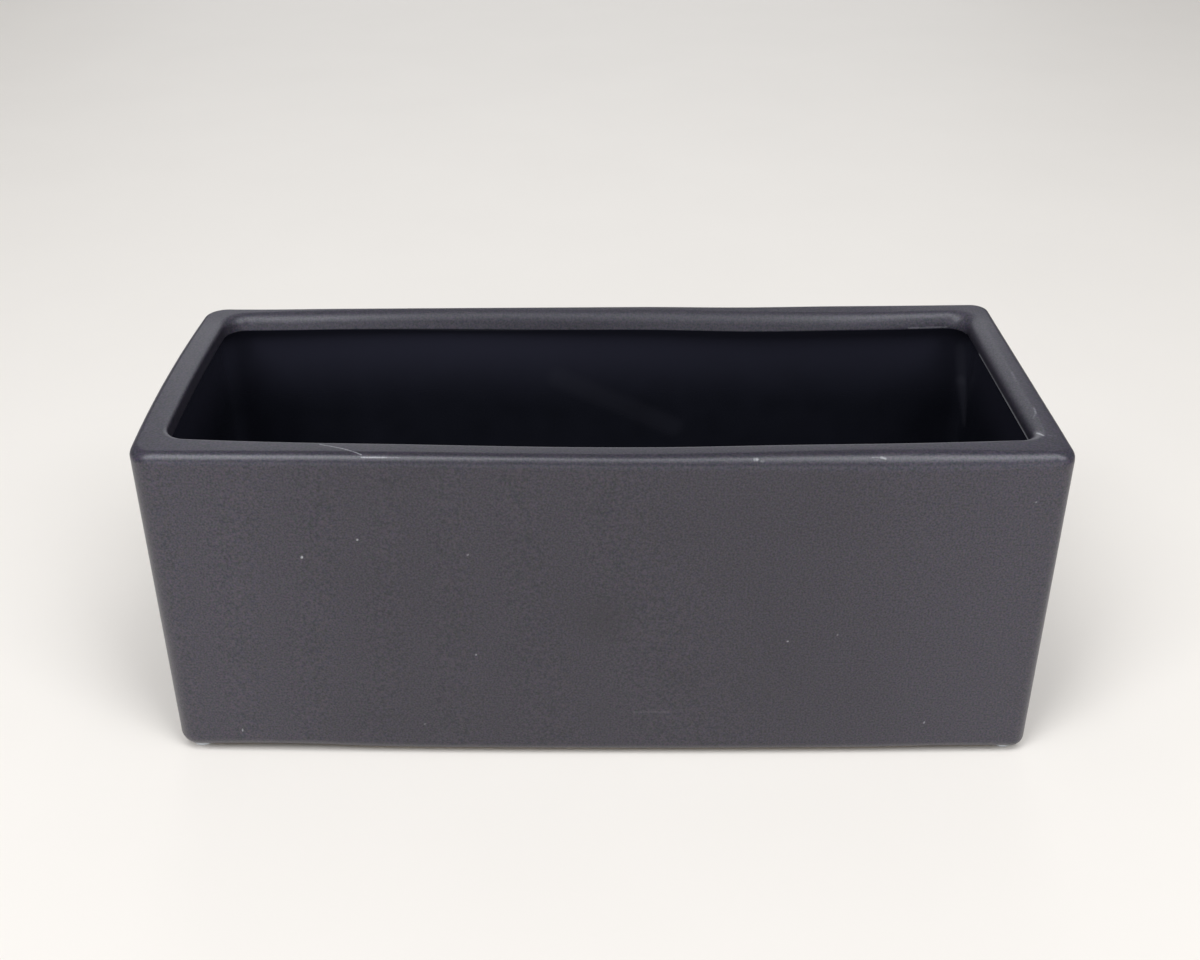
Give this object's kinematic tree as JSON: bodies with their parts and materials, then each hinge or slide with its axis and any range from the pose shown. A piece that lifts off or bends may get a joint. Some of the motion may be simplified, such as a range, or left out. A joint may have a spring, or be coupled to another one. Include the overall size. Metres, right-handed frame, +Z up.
{
  "type": "ikebana suiban",
  "caption": "Deep rectangular ikebana vessel: matte outside, thick turned-in rim, glossy watertight basin for cut flowers, and clear bumper feet.",
  "frame": {"origin": "on the ground under the centre of the vessel's outline", "axes": "+Z up, +X along the vessel to the right seen from its front, -Y out of its front"},
  "size_m": [0.3072, 0.1246, 0.1227],
  "materials": {
    "stoneware": "unglazed, fired",
    "matte_glaze": "matte",
    "gloss_glaze": "gloss",
    "clear_bumper": "clear, soft",
    "clear_adhesive": "clear film"
  },
  "bodies": {
    "root": {"stoneware_body": "stoneware", "matte_outer_glaze": "matte_glaze", "gloss_liner_glaze": "gloss_glaze", "front_left_foot": "clear_bumper", "front_right_foot": "clear_bumper", "back_left_foot": "clear_bumper", "back_right_foot": "clear_bumper", "foot_adhesive_discs": "clear_adhesive"}
  },
  "joints": []
}
